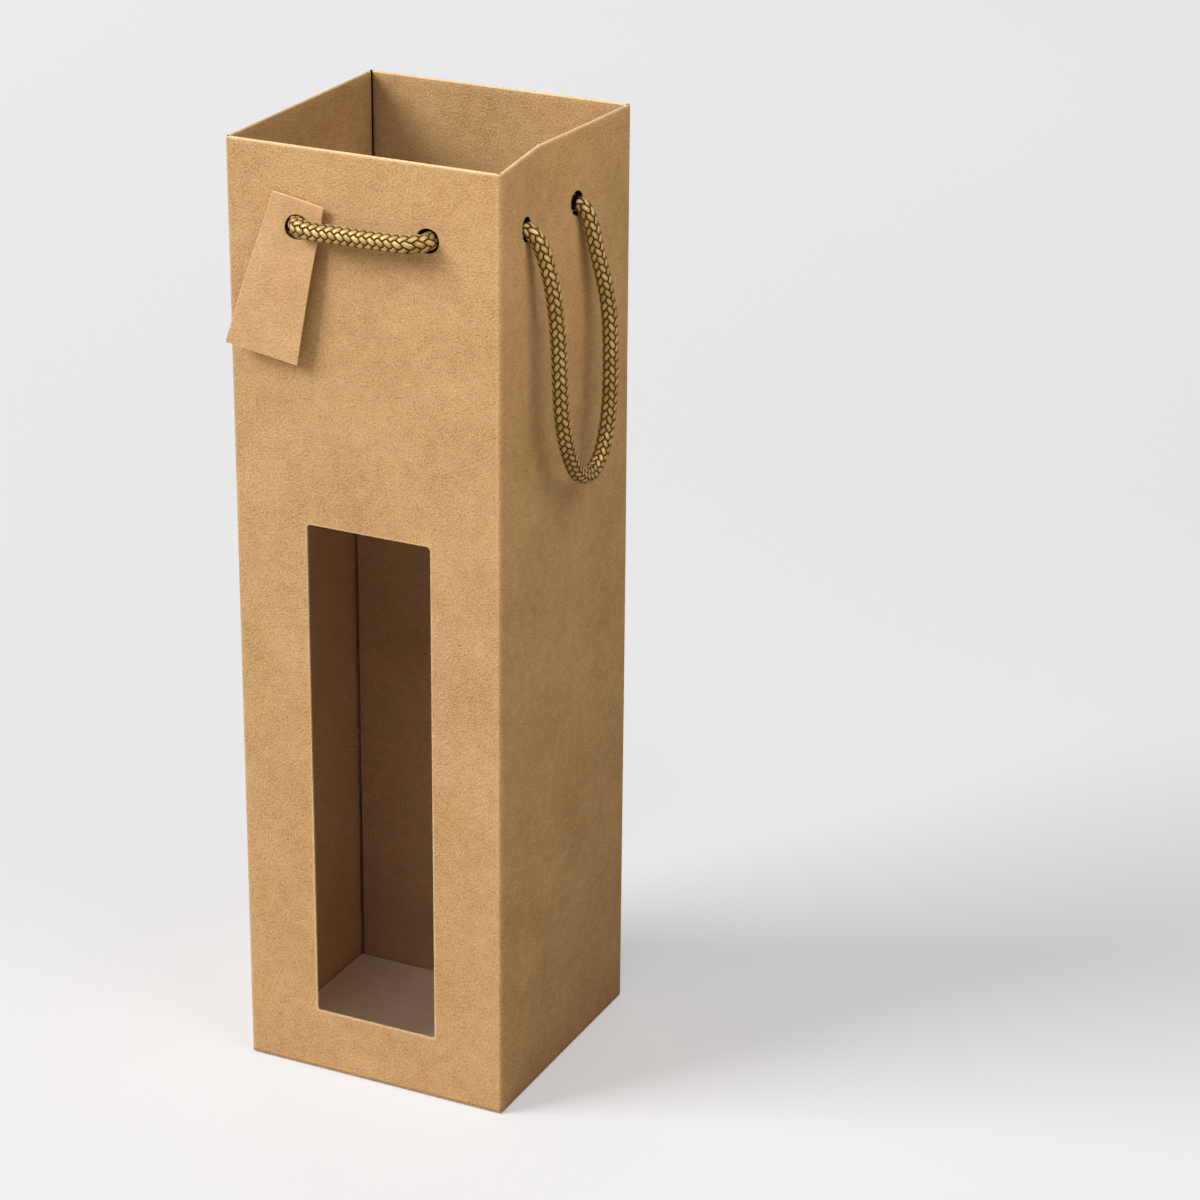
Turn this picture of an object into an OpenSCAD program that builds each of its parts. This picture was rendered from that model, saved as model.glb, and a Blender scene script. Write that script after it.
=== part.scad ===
// Bottle carrier of kraft board: a tall square sleeve with a window, a braided cord and a swing tag.
// The front, with the window, faces -Y. The origin is the middle of the base, on the table.

/* [Body] */
// Width of the body across the front
body_w = 101; // [92:0.5:118]
// Depth of the body from front to back
body_d = 98; // [92:0.5:112]
// Height of the body from the table to the rim
body_h = 340; // [320:1:380]
// Thickness of the board
board_t = 0.8; // [0.6:0.05:0.95]
// Outer radius of the folds at the upright corners
corner_r = 1.2; // [1:0.1:2]

/* [Window] */
// Width of the window
window_w = 47; // [30:0.5:60]
// Height of the window
window_h = 185.5; // [120:0.5:220]
// Height of the window's lower edge above the table
window_sill = 23.6; // [15:0.1:50]
// Radius of the window's corners
window_r = 1.4; // [0.5:0.1:8]
// How far the window sits to the right of the middle
window_shift = 0.7; // [-3:0.1:3]

/* [Top hem] */
// How far the turned-in rim reaches down inside the walls
hem_h = 50; // [36:1:62]

/* [Pushed-in side] */
// How far the right wall is pushed in at its rim
dent_in = 4.6; // [3.5:0.1:6]
// Distance of the crease from the front face
dent_front = 37.4; // [34:0.1:44]
// Height over which the dent fades out below the rim
dent_h = 80; // [70:1:95]

/* [Base] */
// Reach of the two lower base flaps towards each other, as the gap left between them
lower_flap_gap = 1; // [0.5:0.5:20]
// Reach of each upper base flap in from its side wall
upper_flap_len = 45; // [20:0.5:47]
// How far the ends of the upper base flaps are bevelled
upper_flap_bevel = 6; // [2:0.5:12]
// Thickness of the loose base board
base_board_t = 1; // [0.8:0.1:2]
// Gap all round the loose base board
base_board_gap = 0.7; // [0.4:0.1:1.2]

/* [Spacer] */
// Depth of the spacer, from the back wall to its face
spacer_d = 17.9; // [14:0.1:24]
// Height of the spacer
spacer_h = 215; // [190:1:250]
// Gap between the spacer's sides and the seam flap
spacer_gap = 0.4; // [0.3:0.1:0.8]
// Height of the spacer's glued tab
spacer_tab_h = 30; // [15:1:60]

/* [Seam] */
// Width of the glued seam flap
seam_w = 15; // [8:0.5:16]
// Gap between the seam flap and the hem above it
seam_gap = 0.5; // [0.3:0.1:1]

/* [Cord] */
// Diameter of the cord
cord_d = 5.5; // [5:0.1:5.8]
// Diameter of the punched cord holes
hole_d = 7.6; // [7.2:0.1:8]
// Depth of the front wall's holes below the rim
hole_drop = 25.5; // [24.5:0.5:26.5]
// Depth of the side walls' holes below the rim
side_hole_drop = 24; // [23:0.5:25]
// Spacing of the two holes in the front wall
front_hole_pitch = 49; // [48:0.5:50]
// Distance of a side wall's first hole from the front face
side_hole_front = 20.7; // [20.2:0.1:21.2]
// Spacing of the two holes in each side wall
side_hole_pitch = 38; // [37.5:0.5:38.5]
// Diameter of the stopper knots
knot_d = 12.4; // [11:0.1:13]
// Length of a stopper knot along the cord
knot_l = 7; // [5:0.5:9]
// Gap between a stopper knot and the cord on each side of it
knot_gap = 0.05; // [0.02:0.01:0.2]

/* [Tag] */
// Width of the tag at its head
tag_head_w = 19.5; // [17:0.5:26]
// Width of the tag at its foot
tag_foot_w = 27; // [18:0.5:30]
// Distance from the tag's hole to its head
tag_head = 9.4; // [8:0.1:14]
// Distance from the tag's hole to its foot
tag_foot = 46.2; // [30:0.1:60]
// Thickness of the tag
tag_t = 0.6; // [0.4:0.05:0.7]
// Gap between the tag and the front wall
tag_gap = 0.4; // [0.3:0.05:0.6]
// Diameter of the tag's hole
tag_hole_d = 7.6; // [7.2:0.1:8]
// How far the tag's hole sits to the right of its middle
tag_hole_shift = 2; // [0:0.1:3]
// Angle of the hanging tag from upright, foot towards the left
tag_tilt = 13; // [0:0.5:20]
// How far the tag's hole hangs below the wall's hole
tag_drop = 0.6; // [0:0.1:0.8]
// How far the tag's hole sits to the right of the wall's hole
tag_side = 0.6; // [0:0.1:0.8]

/* [Hidden] */

// Half sizes of the outside and the inside of the sleeve
out_x = body_w / 2;
out_y = body_d / 2;
in_x = out_x - board_t;
in_y = out_y - board_t;
cut = 2; // how far a cutting shape runs past what it cuts
fine = 64;
quarter = 90;

// Heights
hole_z = body_h - hole_drop;
side_hole_z = body_h - side_hole_drop;
hem_z = body_h - hem_h;
lower_flap_top = board_t;
floor_z = 2 * board_t;

// The spacer's front face, its outer half width and its upper fold
spacer_y = in_y - spacer_d;
spacer_x = in_x - board_t - spacer_gap;
spacer_top_z = floor_z + spacer_h;
tab_x = spacer_x - board_t - spacer_gap;

// Places of the cord holes along their walls, and how far the dent moves the right wall at them
side_hole_1 = -out_y + side_hole_front;
side_hole_2 = side_hole_1 + side_hole_pitch;
dent_y = -out_y + dent_front;
fold_y = out_y - corner_r;
cord_r = cord_d / 2;
cord_sides = 12;

// Colours of the outside, the inside, the base and the cord
kraft = "#C9A06B";
kraft_inside = "#A67C4C";
kraft_base = "#9A7A5A";
cord_colour = "#A88A4E";
tag_colour = "#CBA172";

// The cord's route, one piece of cord in this order: knot, right loop, right corner, front, left corner,
// left loop, knot. Each loop turns about the line through its own two ends, just outside its wall.
corner_right_route = [[52.45, -28.3, 316], [46.5, -28.3, 316], [42, -28.6, 315.8], [38, -30, 315.4],
                      [34.4, -32.6, 315], [31, -36.2, 314.8], [28, -40.2, 314.6], [25.8, -44.2, 314.6],
                      [24.8, -47.4, 314.5], [24.3, -50, 314.5]];
corner_left_route = [[-53.95, -28.3, 316], [-48, -28.3, 316], [-43, -28.6, 315.8], [-38.5, -30, 315.4],
                     [-34.6, -32.6, 315], [-31, -36.2, 314.8], [-28, -40.2, 314.5], [-25.8, -44.2, 314.3],
                     [-24.6, -47.4, 314.2], [-24, -50, 314.2]];
front_route = [[24.3, -50, 314.5], [22.9, -52.3, 314.5], [20.6, -54.1, 314.4], [16.5, -55, 314.3],
               [9, -55.2, 314.2], [0, -55.2, 314.1], [-9, -55.2, 314.1], [-16.3, -55, 314.1],
               [-20.2, -54.1, 314.2], [-22.5, -52.3, 314.2], [-24, -50, 314.2]];
loop_right_route = [[55.5, -28.3, 316], [55.6, -28.2, 310.5], [57.4, -27.8, 302], [59.2, -27.3, 291.5],
                    [60.3, -27, 279], [60.9, -27, 266], [61.3, -26.2, 254], [61.3, -24, 246],
                    [61.2, -20.6, 239], [61.1, -15.8, 232], [61, -10.2, 227.9], [61, -4.5, 226.5],
                    [61, 1.2, 228.2], [61, 6.2, 233.2], [61, 9.6, 241.5], [61, 11.2, 252], [61, 12, 266],
                    [60.2, 12.6, 279], [58.4, 12.2, 291.5], [56.4, 11.2, 302], [55.5, 10.1, 310.5],
                    [55.5, 9.7, 316]];
loop_left_route = [[-57, -28.3, 316], [-57, -28.2, 310], [-57, -27.8, 299], [-57, -27.3, 285],
                   [-57, -27, 269], [-57, -26.5, 255], [-57, -25, 246], [-57, -22, 238.6],
                   [-57, -16.5, 231.2], [-57, -8, 227.5], [-57, 0.5, 231.2], [-57, 6, 238.6],
                   [-57, 9, 246], [-57, 10.5, 255],
                   [-57, 11, 269], [-57, 10.8, 285], [-57, 10.3, 299], [-57, 9.8, 310], [-57, 9.7, 316]];
anchor_right_route = [[52.45, 9.7, 316], [45.8, 9.7, 316]];
anchor_left_route = [[-53.95, 9.7, 316], [-48.6, 9.7, 316]];
end_right_route = [[38.8, 9.7, 316], [36.8, 9.7, 316], [34.6, 10.3, 314.5], [33.8, 11.3, 311.5],
                   [33.8, 12.3, 305]];
end_left_route = [[-41.6, 9.7, 316], [-39.6, 9.7, 316], [-37.4, 10.3, 314.5], [-36.6, 11.3, 311.5],
                  [-36.6, 12.3, 305]];
// Directions in which the corner stretches leave the front wall, and the unit directions of the axes
out_right = [-0.25, -0.97, 0];
out_left = [-0.25, 0.97, 0];
along_x = [1, 0, 0];
along_y = [0, 1, 0];
along_z = [0, 0, 1];

function unit(v) = v / norm(v);

// Points of an arc in the plane
function arc(centre, r, a0, a1, steps) =
    [for (i = [0:steps]) let (a = a0 + (a1 - a0) * i / steps) centre + r * [cos(a), sin(a)]];

// Direction of a route at its point i, the mean of the steps before and after it
function heading(p, i) = unit(p[min(i + 1, len(p) - 1)] - p[max(i - 1, 0)]);

// A round cord along a route. side is a direction that the route never runs along. first and last give
// the directions of the end faces, where they aren't those of the end steps.
module cord_tube(route, side, first = undef, last = undef) {
    n = len(route);
    rings = [for (i = [0:n - 1])
        let (t = i == 0 && first != undef ? unit(first)
               : i == n - 1 && last != undef ? unit(last) : heading(route, i),
             u = unit(cross(t, side)),
             v = cross(t, u))
        for (k = [0:cord_sides - 1])
            let (a = 360 * k / cord_sides) route[i] + cord_r * (cos(a) * u + sin(a) * v)];
    walls = [for (i = [0:n - 2], k = [0:cord_sides - 1])
        let (a = i * cord_sides + k, b = i * cord_sides + (k + 1) % cord_sides)
        each [[a, a + cord_sides, b], [b, a + cord_sides, b + cord_sides]]];
    start_face = [for (k = [0:cord_sides - 1]) k];
    end_face = [for (k = [cord_sides - 1:-1:0]) (n - 1) * cord_sides + k];
    color(cord_colour) polyhedron(points = rings, faces = concat(walls, [start_face, end_face]));
}

// Plan of a wall whose outer face lies at -depth, mitred to its neighbours at the folds
module wall_plan(half, depth) {
    left_fold = [-half + corner_r, -depth + corner_r];
    right_fold = [half - corner_r, -depth + corner_r];
    polygon(concat([[-half + board_t, -depth + board_t]],
                   arc(left_fold, corner_r, 2.5 * quarter, 3 * quarter, 6),
                   arc(right_fold, corner_r, 3 * quarter, 3.5 * quarter, 6),
                   [[half - board_t, -depth + board_t]]));
}

// Plan of a hem that lies against the inside of such a wall
module hem_plan(half, depth) {
    polygon([[-half + board_t, -depth + board_t], [half - board_t, -depth + board_t],
             [half - 2 * board_t, -depth + 2 * board_t], [-half + 2 * board_t, -depth + 2 * board_t]]);
}

module hole_pair(first, pitch, depth, height) {
    for (x = [first, first + pitch])
        translate([x, -depth + board_t, height]) rotate([quarter, 0, 0])
            cylinder(d = hole_d, h = 2 * (dent_in + cut), center = true, $fn = fine);
}

// The hollow of the pushed-in side, seen on a wall plane at the given depth: a three-sided pyramid whose
// deepest point is at the rim. It can run out past the wall and up past the rim by the given lengths.
module dent_shape(depth, past_wall, past_rim) {
    grow = past_wall / dent_in + past_rim / dent_h;
    rim = body_h + past_rim;
    y = -out_x + depth;
    a = [-fold_y - (dent_y + fold_y) * grow, y - past_wall, rim];
    c = [fold_y + (fold_y - dent_y) * grow, y - past_wall, rim];
    p = [dent_y, y - past_wall, body_h - dent_h * (1 + past_wall / dent_in)];
    k = [dent_y, y + dent_in * (1 + past_rim / dent_h), rim];
    polyhedron(points = [a, c, p, k], faces = [[0, 1, 2], [0, 3, 1], [1, 3, 2], [2, 3, 0]]);
}

// Pushes one sheet of board in, the sheet whose outer face lies at the given depth and whose inner face
// reaches as far as half to each side
module pushed_in(depth, half) {
    difference() {
        union() {
            children();
            intersection() {
                dent_shape(depth + board_t, board_t / 2, 0);
                translate([-half, -out_x, 0]) cube([2 * half, out_x, body_h]);
            }
        }
        dent_shape(depth, cut, cut);
    }
}

module front_wall() {
    window_x = window_w / 2 - window_r;
    color(kraft) difference() {
        linear_extrude(body_h) wall_plan(out_x, out_y);
        hole_pair(-front_hole_pitch / 2, front_hole_pitch, out_y, hole_z);
        translate([window_shift, 0, 0]) {
            translate([-window_w / 2, -out_y - cut, window_sill + window_r])
                cube([window_w, board_t + 2 * cut, window_h - 2 * window_r]);
            translate([-window_x, -out_y - cut, window_sill])
                cube([2 * window_x, board_t + 2 * cut, window_h]);
            for (x = [-window_x, window_x], z = [window_sill + window_r, window_sill + window_h - window_r])
                translate([x, -out_y + board_t / 2, z]) rotate([quarter, 0, 0])
                    cylinder(r = window_r, h = board_t + 2 * cut, center = true, $fn = fine);
        }
    }
}

module right_wall() {
    color(kraft) rotate(quarter) difference() {
        pushed_in(0, in_y) linear_extrude(body_h) wall_plan(out_y, out_x);
        hole_pair(side_hole_1, side_hole_pitch, out_x, side_hole_z);
    }
}

module back_wall() {
    color(kraft) rotate(2 * quarter) linear_extrude(body_h) wall_plan(out_x, out_y);
}

module left_wall() {
    color(kraft) rotate(-quarter) difference() {
        linear_extrude(body_h) wall_plan(out_y, out_x);
        hole_pair(-side_hole_2, side_hole_pitch, out_x, side_hole_z);
    }
}

// Glue flap of the back wall, on the inside of the left wall
module seam_flap() {
    color(kraft_inside) translate([-in_x, in_y - seam_w, floor_z])
        cube([board_t, seam_w, hem_z - seam_gap - floor_z]);
}

module lower_flap() {
    reach = in_y - lower_flap_gap / 2;
    color(kraft_base) translate([-in_x, -in_y, 0]) cube([2 * in_x, reach, board_t]);
}

module base_flap_front() { lower_flap(); }

module base_flap_back() { rotate(2 * quarter) lower_flap(); }

module upper_flap() {
    color(kraft_base) translate([0, 0, lower_flap_top]) linear_extrude(board_t)
        polygon([[-in_x, -in_y], [-in_x + upper_flap_len, -in_y + upper_flap_bevel],
                 [-in_x + upper_flap_len, in_y - upper_flap_bevel], [-in_x, in_y]]);
}

module base_flap_left() { upper_flap(); }

module base_flap_right() { mirror([1, 0, 0]) upper_flap(); }

module base_board() {
    w = 2 * (in_x - base_board_gap);
    d = in_y + spacer_y - 2 * base_board_gap;
    color(kraft_base) translate([-w / 2, -in_y + base_board_gap, floor_z]) cube([w, d, base_board_t]);
}

module hem(half, depth) {
    translate([0, 0, hem_z]) linear_extrude(hem_h) hem_plan(half, depth);
}

module hem_front() {
    color(kraft_inside) difference() {
        hem(out_x, out_y);
        hole_pair(-front_hole_pitch / 2, front_hole_pitch, out_y, hole_z);
    }
}

module hem_right() {
    color(kraft_inside) rotate(quarter) difference() {
        intersection() {
            pushed_in(board_t, in_y - board_t) hem(out_y, out_x);
            translate([-out_y, -out_x, hem_z]) cube([2 * out_y, out_x, hem_h]);
        }
        hole_pair(side_hole_1, side_hole_pitch, out_x, side_hole_z);
    }
}

module hem_back() { color(kraft_inside) rotate(2 * quarter) hem(out_x, out_y); }

module hem_left() {
    color(kraft_inside) rotate(-quarter) difference() {
        hem(out_y, out_x);
        hole_pair(-side_hole_2, side_hole_pitch, out_x, side_hole_z);
    }
}

module spacer_face() {
    color(kraft_inside) translate([-spacer_x, spacer_y, floor_z]) cube([2 * spacer_x, board_t, spacer_h]);
}

module spacer_side() {
    color(kraft_inside) translate([-spacer_x, spacer_y + board_t, floor_z])
        cube([board_t, in_y - spacer_y - board_t, spacer_h]);
}

module spacer_side_left() { spacer_side(); }

module spacer_side_right() { mirror([1, 0, 0]) spacer_side(); }

module spacer_top() {
    color(kraft_inside) translate([-spacer_x, spacer_y, spacer_top_z])
        cube([2 * spacer_x, in_y - spacer_y, board_t]);
}

module spacer_tab() {
    color(kraft_inside) translate([-tab_x, in_y - board_t, spacer_top_z - spacer_tab_h])
        cube([2 * tab_x, board_t, spacer_tab_h]);
}

module cord_front() { cord_tube(front_route, along_z, out_right, out_left); }

module cord_corner_right() { cord_tube(corner_right_route, along_z, -along_x, out_right); }

module cord_corner_left() { cord_tube(corner_left_route, along_z, along_x, -out_left); }

module cord_loop_right() { cord_tube(loop_right_route, along_x, -along_z, along_z); }

module cord_loop_left() { cord_tube(loop_left_route, along_x, -along_z, along_z); }

module cord_anchor_right() { cord_tube(anchor_right_route, along_z); }

module cord_anchor_left() { cord_tube(anchor_left_route, along_z); }

module cord_end_right() { cord_tube(end_right_route, along_y, -along_x, -along_z); }

module cord_end_left() { cord_tube(end_left_route, along_y, along_x, -along_z); }

// A stopper knot that starts at a point of the cord, a ball with flats where the cord meets it
module knot(face, inward) {
    flat = knot_l / 2 - knot_gap;
    flat_angle = asin(2 * flat / knot_d);
    color(cord_colour) translate(face + inward * knot_l / 2) rotate([0, quarter, 0])
        rotate_extrude($fn = fine)
            polygon(concat([[0, -flat]], arc([0, 0], knot_d / 2, -flat_angle, flat_angle, 12), [[0, flat]]));
}

module knot_right() { knot(anchor_right_route[1], -along_x); }

module knot_left() { knot(anchor_left_route[1], along_x); }

module tag() {
    color(tag_colour)
        translate([-front_hole_pitch / 2 + tag_side, -out_y - tag_gap, hole_z - tag_drop])
            rotate([quarter, 0, 0]) rotate(-tag_tilt)
            difference() {
                linear_extrude(tag_t) polygon([[-tag_hole_shift - tag_head_w / 2, tag_head],
                                               [-tag_hole_shift + tag_head_w / 2, tag_head],
                                               [-tag_hole_shift + tag_foot_w / 2, -tag_foot],
                                               [-tag_hole_shift - tag_foot_w / 2, -tag_foot]]);
                cylinder(d = tag_hole_d, h = 2 * (tag_t + cut), center = true, $fn = fine);
            }
}

front_wall();
right_wall();
back_wall();
left_wall();
seam_flap();
base_flap_front();
base_flap_back();
base_flap_left();
base_flap_right();
base_board();
hem_front();
hem_right();
hem_back();
hem_left();
spacer_face();
spacer_side_left();
spacer_side_right();
spacer_top();
spacer_tab();
cord_front();
cord_corner_right();
cord_corner_left();
cord_loop_right();
cord_loop_left();
cord_anchor_right();
cord_anchor_left();
knot_right();
knot_left();
cord_end_right();
cord_end_left();
tag();
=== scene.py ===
"""Bottle carrier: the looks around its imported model. Places and sizes are in millimetres here, and become
metres where a mesh is made."""

import math

import bmesh
import bpy
import numpy as np
from mathutils import Matrix, Vector


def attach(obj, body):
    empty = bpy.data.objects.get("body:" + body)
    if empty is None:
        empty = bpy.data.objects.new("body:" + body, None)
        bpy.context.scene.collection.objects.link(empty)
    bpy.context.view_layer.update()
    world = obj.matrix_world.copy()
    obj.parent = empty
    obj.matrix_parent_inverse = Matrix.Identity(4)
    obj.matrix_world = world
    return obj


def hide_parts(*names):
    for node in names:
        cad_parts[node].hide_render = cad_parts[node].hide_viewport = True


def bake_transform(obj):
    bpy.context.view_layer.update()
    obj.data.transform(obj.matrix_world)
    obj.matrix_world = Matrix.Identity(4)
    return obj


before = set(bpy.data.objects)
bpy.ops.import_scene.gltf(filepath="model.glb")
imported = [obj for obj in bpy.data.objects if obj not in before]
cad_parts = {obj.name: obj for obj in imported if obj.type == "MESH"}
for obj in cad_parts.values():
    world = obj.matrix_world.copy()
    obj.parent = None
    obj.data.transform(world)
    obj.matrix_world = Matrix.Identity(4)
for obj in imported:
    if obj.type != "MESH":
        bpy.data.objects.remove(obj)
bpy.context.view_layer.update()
MM = 0.001

# Sizes of the body. The rim and the cord holes are drawn after the photograph, the rest is the source's.
HALF_W, HALF_D, HEIGHT = 50.5, 49.0, 340.0
BOARD, RIM = 0.8, 1.35  # thickness of the board, and of the rim with its hem
CORNER = 1.2  # radius of the folds between the walls
HEM_Z = 290.0  # lower edge of the hem
HOLE_R, HOLE_INNER = 4.1, 2.9  # radius of a cord hole at the outer and at the inner face
FRONT_HOLES = ((-24.6, 314.2), (24.2, 314.7))  # place across, and up
SIDE_HOLES = ((-28.3, 316.5), (9.7, 315.4))  # place from front to back, and up
WINDOW = (0.7, 116.35, 23.5, 92.75, 1.4)  # middle across, middle up, half width, half height, corner


# Camera, fitted to the corners of the body in the photograph

def add_camera(azimuth, elevation, roll, lens, place):
    """A camera that looks back along the direction of the two angles, turned about it by roll."""
    back = Vector((math.sin(azimuth) * math.cos(elevation), -math.cos(azimuth) * math.cos(elevation),
                   math.sin(elevation)))
    right = Vector((math.cos(azimuth), math.sin(azimuth), 0))
    up = back.cross(right)
    across = math.cos(roll) * right + math.sin(roll) * up
    upward = math.cos(roll) * up - math.sin(roll) * right
    data = bpy.data.cameras.new("camera")
    data.lens, data.sensor_width, data.clip_end = lens, 36, 50
    camera = bpy.data.objects.new("camera", data)
    camera.matrix_world = Matrix([(across[i], upward[i], back[i], place[i] * MM) for i in range(3)]
                                 + [(0, 0, 0, 1)])
    bpy.context.scene.collection.objects.link(camera)
    bpy.context.scene.camera = camera


add_camera(0.442879743, 0.392643835, 0.0103130486, 110.073, (559.337, -1045.656, 658.775))


# Shader expressions

class Shade:
    """A socket of a material. An expression on it adds the Math nodes that work it out."""

    def __init__(self, tree, socket):
        self.tree, self.socket = tree, socket

    def math(self, operation, *others):
        return add_node(self.tree, "ShaderNodeMath", {"operation": operation}, self, *others)

    def __add__(self, other):
        return self.math("ADD", other)

    def __sub__(self, other):
        return self.math("SUBTRACT", other)

    def __mul__(self, other):
        return self.math("MULTIPLY", other)

    def __rsub__(self, other):
        return add_node(self.tree, "ShaderNodeMath", {"operation": "SUBTRACT"}, other, self)

    __radd__, __rmul__ = __add__, __mul__

    def cos(self):
        return self.math("COSINE")

    def clamp(self):
        return add_node(self.tree, "ShaderNodeClamp", {}, self)

    def larger(self, other):
        return self.math("MAXIMUM", other)

    def step(self, low, high):
        """A smooth rise from 0 at low to 1 at high."""
        return add_node(self.tree, "ShaderNodeMapRange", {"interpolation_type": "SMOOTHSTEP"},
                        self, low, high)


def add_node(tree, kind, settings, *values, out=0, named=None):
    """A node of a type, with its settings, and then a value or a link for each of its sockets."""
    node = tree.nodes.new(kind)
    for key, value in settings.items():
        setattr(node, key, value)
    sockets = [(node.inputs[i], v) for i, v in enumerate(values)]
    sockets += [(node.inputs[key], v) for key, v in (named or {}).items()]
    for socket, value in sockets:
        if isinstance(value, Shade):
            tree.links.new(value.socket, socket)
        else:
            socket.default_value = value
    return Shade(tree, node.outputs[out])


def mixed(tree, share, first, second):
    """Two colours, mixed by a share. A Mix node's sockets for colours come after those for other kinds."""
    return add_node(tree, "ShaderNodeMix", {"data_type": "RGBA"}, out=2,
                    named={0: share, 6: first, 7: second})


def linear(red, green, blue):
    """A screen colour, 0 to 255, as the linear colour that a socket takes."""
    share = [c / 255 for c in (red, green, blue)]
    return (*[c / 12.92 if c <= 0.04045 else ((c + 0.055) / 1.055) ** 2.4 for c in share], 1.0)


class Finish:
    """A material with one Principled shader. What is the same all over is set here, on its own sockets."""

    def __init__(self, name, **settings):
        self.material = bpy.data.materials.new(name)
        self.material.use_nodes = True
        self.tree = self.material.node_tree
        self.shader = self.tree.nodes["Principled BSDF"]
        for key, value in settings.items():
            self.shader.inputs[key.replace("_", " ")].default_value = value

    def node(self, kind, settings, *values, out=0, named=None):
        return add_node(self.tree, kind, settings, *values, out=out, named=named)

    def noise(self, place, scale, detail, roughness=0.5):
        return self.node("ShaderNodeTexNoise", {}, named={
            "Vector": place, "Scale": scale, "Detail": detail, "Roughness": roughness})

    def mix(self, share, first, second):
        return mixed(self.tree, share, first, second)

    def own(self, name):
        """The value that a piece's points carry under a name."""
        return self.node("ShaderNodeAttribute", {"attribute_name": name}, out=2)

    def place(self):
        """The place in the object, in metres."""
        return self.node("ShaderNodeTexCoord", {}, out=3)

    def sheet_from_uv(self):
        """The place on the sheet, in millimetres, from the piece's own UV map."""
        uv = self.node("ShaderNodeUVMap", {"uv_map": "sheet"})
        return self.node("ShaderNodeVectorMath", {"operation": "SCALE"},
                         named={"Vector": uv, "Scale": 1 / MM})

    def sheet_from_place(self):
        """The place on a flat plate that lies in any of the three planes, in millimetres: x + y across, and
        z + 0.8 y up."""
        place = self.place()
        x, y, z = (self.node("ShaderNodeSeparateXYZ", {}, place, out=i) * (1 / MM) for i in range(3))
        return self.node("ShaderNodeCombineXYZ", {}, x + y, z + y * 0.8, 0.0)

    def strokes(self, sheet, angle, length, width, low, high):
        """Fibres: noise stretched along an angle, of which only what is above a level shows."""
        turned = self.node("ShaderNodeMapping", {"vector_type": "TEXTURE"}, sheet,
                           (angle * 13.0, angle * 7.0, 0), (0, 0, math.radians(angle)), (length, width, 1))
        return self.noise(turned, 1.0, 1.5, 0.4).step(low, high)

    def close(self, colour, roughness=None, height=None, depth=0.0, metallic=None):
        """Links the colour, the roughness, the metallic share and the height of the relief, in shares of
        depth in metres."""
        self.tree.links.new(colour.socket, self.shader.inputs["Base Color"])
        if roughness is not None:
            self.tree.links.new(roughness.socket, self.shader.inputs["Roughness"])
        if metallic is not None:
            self.tree.links.new(metallic.socket, self.shader.inputs["Metallic"])
        if height is not None:
            bump = self.node("ShaderNodeBump", {},
                             named={"Strength": 1.0, "Distance": depth, "Height": height})
            self.tree.links.new(bump.socket, self.shader.inputs["Normal"])
        return self.material


GRAIN_DEPTH = 0.00030  # height of the board's relief, in metres


def kraft(name, dark, mid, light, by_uv=True, grain=1.0):
    """Kraft board: broad clouds, a very fine grain, and short light and dark fibres laid across each other.
    Their sum picks a colour between dark, mid and light. Wear, and painted highlight on edges that catch
    the light, make it paler, and painted shade in holes, joints, the mouth's hem and along the foot makes
    it nearly black."""
    f = Finish(name, Specular_IOR_Level=0.22)
    sheet = f.sheet_from_uv() if by_uv else f.sheet_from_place()
    clouds = f.noise(sheet, 0.035, 3.0, 0.55) - 0.5
    patches = f.noise(sheet, 0.22, 2.0, 0.6) - 0.5
    coarse = f.noise(sheet, 1.0, 1.5, 0.6) - 0.5
    fine = f.noise(sheet, 2.2, 1.0, 0.6) - 0.5
    long_light = f.strokes(sheet, 52, 2.6, 0.34, 0.62, 0.76)
    cross_light = f.strokes(sheet, 118, 1.9, 0.32, 0.65, 0.79)
    long_dark = f.strokes(sheet, 61, 2.2, 0.36, 0.63, 0.78)
    cross_dark = f.strokes(sheet, 161, 1.7, 0.34, 0.66, 0.80)
    flecks = f.strokes(sheet, 33, 1.3, 0.5, 0.73, 0.80)
    pale = long_light + cross_light
    deep = long_dark + cross_dark
    tone = 0.5 + clouds * (0.55 * grain) + patches * (0.40 * grain) + coarse * (0.55 * grain) \
        + fine * (1.60 * grain) + pale * (0.32 * grain) - deep * (0.32 * grain) + flecks * (0.45 * grain)
    tone = tone.clamp()
    colour = f.mix(tone.step(0.0, 0.5), dark, mid)
    colour = f.mix(((tone - 0.5) * 2.0).clamp(), colour, light)
    if by_uv:
        # Wear, and painted highlight on edges that catch the light, both mix towards a pale colour.
        rubbed_and_lit = (f.own("worn") * (0.85 + patches * 0.8 + coarse * 0.8)).clamp()
        colour = f.mix(rubbed_and_lit, colour, linear(252, 222, 172))
        # Painted shade: mixes towards near black where a piece carries it.
        colour = f.mix(f.own("deep").clamp(), colour, linear(18, 12, 6))
    height = fine * 0.8 + coarse * 0.6 + pale * 0.30 - deep * 0.25 + flecks * 0.3
    return f.close(colour, 0.82 + fine * 0.15, height, GRAIN_DEPTH)


COLUMNS, PITCH = 8, 2.925  # floats side by side round the cord, and from one to the next along it
FLOAT_W = 2.16  # width of a column of floats
FLOAT_LONG, FLOAT_WIDE = 2.16, 1.22  # half length and half width of a float
FLOAT_TURN = 0.64  # its angle off the cord's line
RELIEF = 0.85  # how far it stands up
ROUNDNESS = 2.6  # power of the pillow's outline and section
YARNS = 2.5  # yarns across half a float
YARN_DEPTH = 0.00009  # how far a yarn stands up, in metres


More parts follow.
